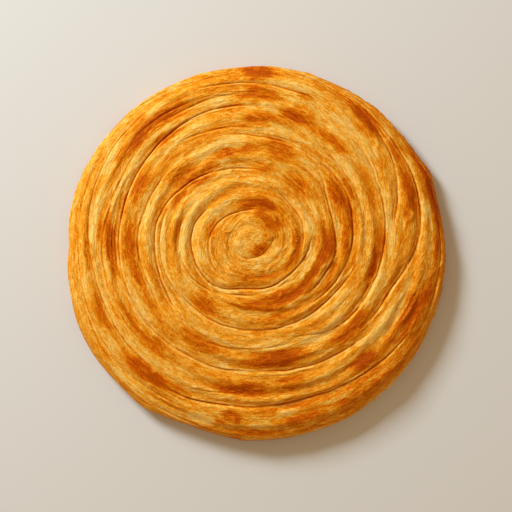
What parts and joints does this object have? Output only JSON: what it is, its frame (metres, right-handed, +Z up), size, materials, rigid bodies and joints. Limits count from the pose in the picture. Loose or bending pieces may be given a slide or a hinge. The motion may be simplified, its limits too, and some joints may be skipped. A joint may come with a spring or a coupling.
{
  "type": "laccha paratha flatbread",
  "caption": "Round laccha paratha: a pleated strip of dough coiled about an off-centre heart, pressed and fried golden with browned rolls; rests flat",
  "frame": {"origin": "centre of the outline's bounding box, on the plane the bread rests on", "axes": "+Z up through the thickness, +X to the right and +Y away from the reader when the bread is seen from above with its heart above the middle"},
  "size_m": [0.1806, 0.179, 0.019],
  "materials": {
    "browned_dough": "fried dough, satin with a little oil"
  },
  "bodies": {
    "root": {"paratha": "browned_dough"}
  },
  "joints": []
}
